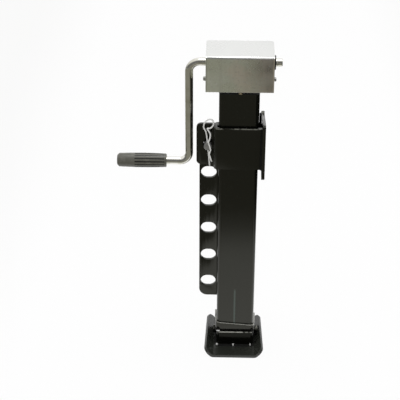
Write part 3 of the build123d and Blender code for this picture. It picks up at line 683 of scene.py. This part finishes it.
# Inner tube and drive
# The inner tube, and the screw, gears, bearing and bushes that work inside the leg and the head.
# The tube, the screw and the gears are steel under a film of grease, and the bushes and the nut are bronze;
# the grease grey is kept dark as painted shade on the tube in the gap under the leg's mouth.
greased_grey_and_gap_shade = ((0.34, 0.33, 0.31), (0.20, 0.19, 0.17))
hardened_grey = ((0.62, 0.62, 0.63), (0.52, 0.52, 0.53))
bronze_brown = ((0.62, 0.42, 0.20), (0.48, 0.31, 0.14))
# Dark grease grey, which is also painted shade for the inner tube seen in the gap under the leg's mouth.
greased = plated_bar("greased_steel_and_gap_shade", *greased_grey_and_gap_shade, 0.20, 0.38)
for node in ("inner_tube", "nut_plate", "lead_screw", "bevel_gear", "bevel_pinion", "stop_ring"):
    dress(nodes[node], greased)
hardened = plated_bar("hardened_steel", *hardened_grey, 0.10, 0.18)
for node in ("upper_race", "lower_race", "bearing_balls", "gear_pin", "pinion_pin", "stop_pin", "grip_ring"):
    dress(nodes[node], hardened)
bronze = plated_bar("bearing_bronze", *bronze_brown, 0.25, 0.40)
for node in ("shaft_bushes", "screw_bush", "screw_nut"):
    dress(nodes[node], bronze)
for node in ("bearing_plate", "cheek_plates"):
    dress(nodes[node], paint)

# Floor
# A white paper sweep that ends 0.3 m in front of the stand, where the darker room begins.
# The stand mirrors the paper and that room. The camera sees only the stand's faint shadow on it, over the
# white backdrop behind, so the foot still shows when the leg is wound down past it.
floor_half = 6.0
paper_front = -0.32
paper_side = 0.45
paper_fade = 0.12
paper_white = (0.90, 0.90, 0.90)
room_olive = (0.245, 0.240, 0.200)
room_shade = (0.030, 0.030, 0.024)
shade_from = 0.26
shade_to = 0.44
shadow_share = 0.06
bpy.ops.mesh.primitive_plane_add(size=2 * floor_half)
floor = bpy.context.object
floor.name = "floor"
paper, tree, shader, place = finish_nodes("paper_sweep")
tree.nodes.remove(shader)
axes = tree.nodes.new("ShaderNodeSeparateXYZ")
tree.links.new(place, axes.inputs["Vector"])
width = tree.nodes.new("ShaderNodeMath")
width.operation = "ABSOLUTE"
tree.links.new(axes.outputs["X"], width.inputs[0])
beyond = spread(tree, axes.outputs["Y"], paper_front - paper_fade, paper_front + paper_fade, 1.0, 0.0)
beside = spread(tree, width.outputs["Value"], paper_side - paper_fade, paper_side + paper_fade, 0.0, 1.0)
off_paper = largest(tree, beyond, beside)
lit_paper = tree.nodes.new("ShaderNodeBsdfDiffuse")
tree.links.new(blended(tree, off_paper, paper_white, room_olive), lit_paper.inputs["Color"])
rays = tree.nodes.new("ShaderNodeLightPath")
mirrored = largest(tree, rays.outputs["Is Glossy Ray"], rays.outputs["Is Transmission Ray"])
looked_at = largest(tree, rays.outputs["Is Camera Ray"], mirrored)
glow = tree.nodes.new("ShaderNodeEmission")
room_mirrored = times(tree, off_paper, mirrored)
mirrored_room = blended(tree, room_mirrored, (1.0, 1.0, 1.0), room_olive)
shaded = times(tree, spread(tree, axes.outputs["X"], shade_from, shade_to, 0.0, 1.0), mirrored)
tree.links.new(blended(tree, shaded, mirrored_room, room_shade), glow.inputs["Color"])
clear = tree.nodes.new("ShaderNodeBsdfTransparent")
backdrop_behind = tree.nodes.new("ShaderNodeMixShader")
tree.links.new(rays.outputs["Is Camera Ray"], backdrop_behind.inputs["Fac"])
tree.links.new(glow.outputs["Emission"], backdrop_behind.inputs[1])
tree.links.new(clear.outputs["BSDF"], backdrop_behind.inputs[2])
faint_shadow = tree.nodes.new("ShaderNodeMixShader")
faint_shadow.inputs["Fac"].default_value = shadow_share
tree.links.new(backdrop_behind.outputs["Shader"], faint_shadow.inputs[1])
tree.links.new(lit_paper.outputs["BSDF"], faint_shadow.inputs[2])
seen = tree.nodes.new("ShaderNodeMixShader")
tree.links.new(looked_at, seen.inputs["Fac"])
tree.links.new(lit_paper.outputs["BSDF"], seen.inputs[1])
tree.links.new(faint_shadow.outputs["Shader"], seen.inputs[2])
tree.links.new(seen.outputs["Shader"], tree.nodes["Material Output"].inputs["Surface"])
dress(floor, paper)

# Studio light
# A white room, darker on the camera's side below the lamp, with one soft box overhead.
# Below the floor it is pale again, for the foot when the leg is wound down.
room_white = 1.0
room_dark = 0.16
room_below = 0.8
room_level = 0.85
light_side = (0.0, 0.6, 0.8)
dark_until = 0.05
white_from = 0.55
below_until = -0.10
below_end = -0.02
lamp_size = 0.6
lamp_height = 1.9
lamp_back = 0.15
lamp_power = 5.5
world = bpy.data.worlds.new("studio")
bpy.context.scene.world = world
world.use_nodes = True
tree = world.node_tree
tree.nodes.clear()
direction = tree.nodes.new("ShaderNodeTexCoord")
toward_light = tree.nodes.new("ShaderNodeVectorMath")
toward_light.operation = "DOT_PRODUCT"
toward_light.inputs[1].default_value = light_side
tree.links.new(direction.outputs["Generated"], toward_light.inputs[0])
level = spread(tree, toward_light.outputs["Value"], dark_until, white_from, room_dark, room_white)
heights = tree.nodes.new("ShaderNodeSeparateXYZ")
tree.links.new(direction.outputs["Generated"], heights.inputs["Vector"])
below = spread(tree, heights.outputs["Z"], below_until, below_end, room_below, 0.0)
level = largest(tree, level, below)
rays = tree.nodes.new("ShaderNodeLightPath")
mirrored = largest(tree, rays.outputs["Is Glossy Ray"], rays.outputs["Is Transmission Ray"])
walls = []
for name in ("walls that light", "walls that are mirrored", "backdrop"):
    wall = tree.nodes.new("ShaderNodeBackground")
    wall.label = name
    wall.inputs["Color"].default_value = (1.0, 1.0, 1.0, 1.0)
    walls.append(wall)
walls[0].inputs["Strength"].default_value = room_level
tree.links.new(level, walls[1].inputs["Strength"])
by_mirror = tree.nodes.new("ShaderNodeMixShader")
tree.links.new(mirrored, by_mirror.inputs["Fac"])
tree.links.new(walls[0].outputs["Background"], by_mirror.inputs[1])
tree.links.new(walls[1].outputs["Background"], by_mirror.inputs[2])
by_camera = tree.nodes.new("ShaderNodeMixShader")
tree.links.new(rays.outputs["Is Camera Ray"], by_camera.inputs["Fac"])
tree.links.new(by_mirror.outputs["Shader"], by_camera.inputs[1])
tree.links.new(walls[2].outputs["Background"], by_camera.inputs[2])
output = tree.nodes.new("ShaderNodeOutputWorld")
tree.links.new(by_camera.outputs["Shader"], output.inputs["Surface"])
bpy.ops.object.light_add(type="AREA", location=(0.0, lamp_back, lamp_height))
lamp = bpy.context.object
lamp.name = "overhead_softbox"
lamp.data.size = lamp_size
lamp.data.energy = lamp_power

# Camera
# Looks down at the stand almost straight from the front, with a long lens.
camera_place = (-0.01764, -1.61483, 1.17312)
camera_down = math.radians(29.410)
camera_round = math.radians(1.446)
camera_roll = math.radians(0.146)
lens_pixels = 1181.4
frame_pixels = 400
bpy.ops.object.camera_add(location=camera_place)
camera = bpy.context.object
turn = (Matrix.Rotation(camera_round, 4, "Z") @ Matrix.Rotation(math.pi / 2 - camera_down, 4, "X")
        @ Matrix.Rotation(camera_roll, 4, "Z"))
camera.rotation_euler = turn.to_euler()
camera.data.lens = camera.data.sensor_width * lens_pixels / frame_pixels
bpy.context.scene.camera = camera
bpy.context.scene.view_settings.view_transform = "Standard"
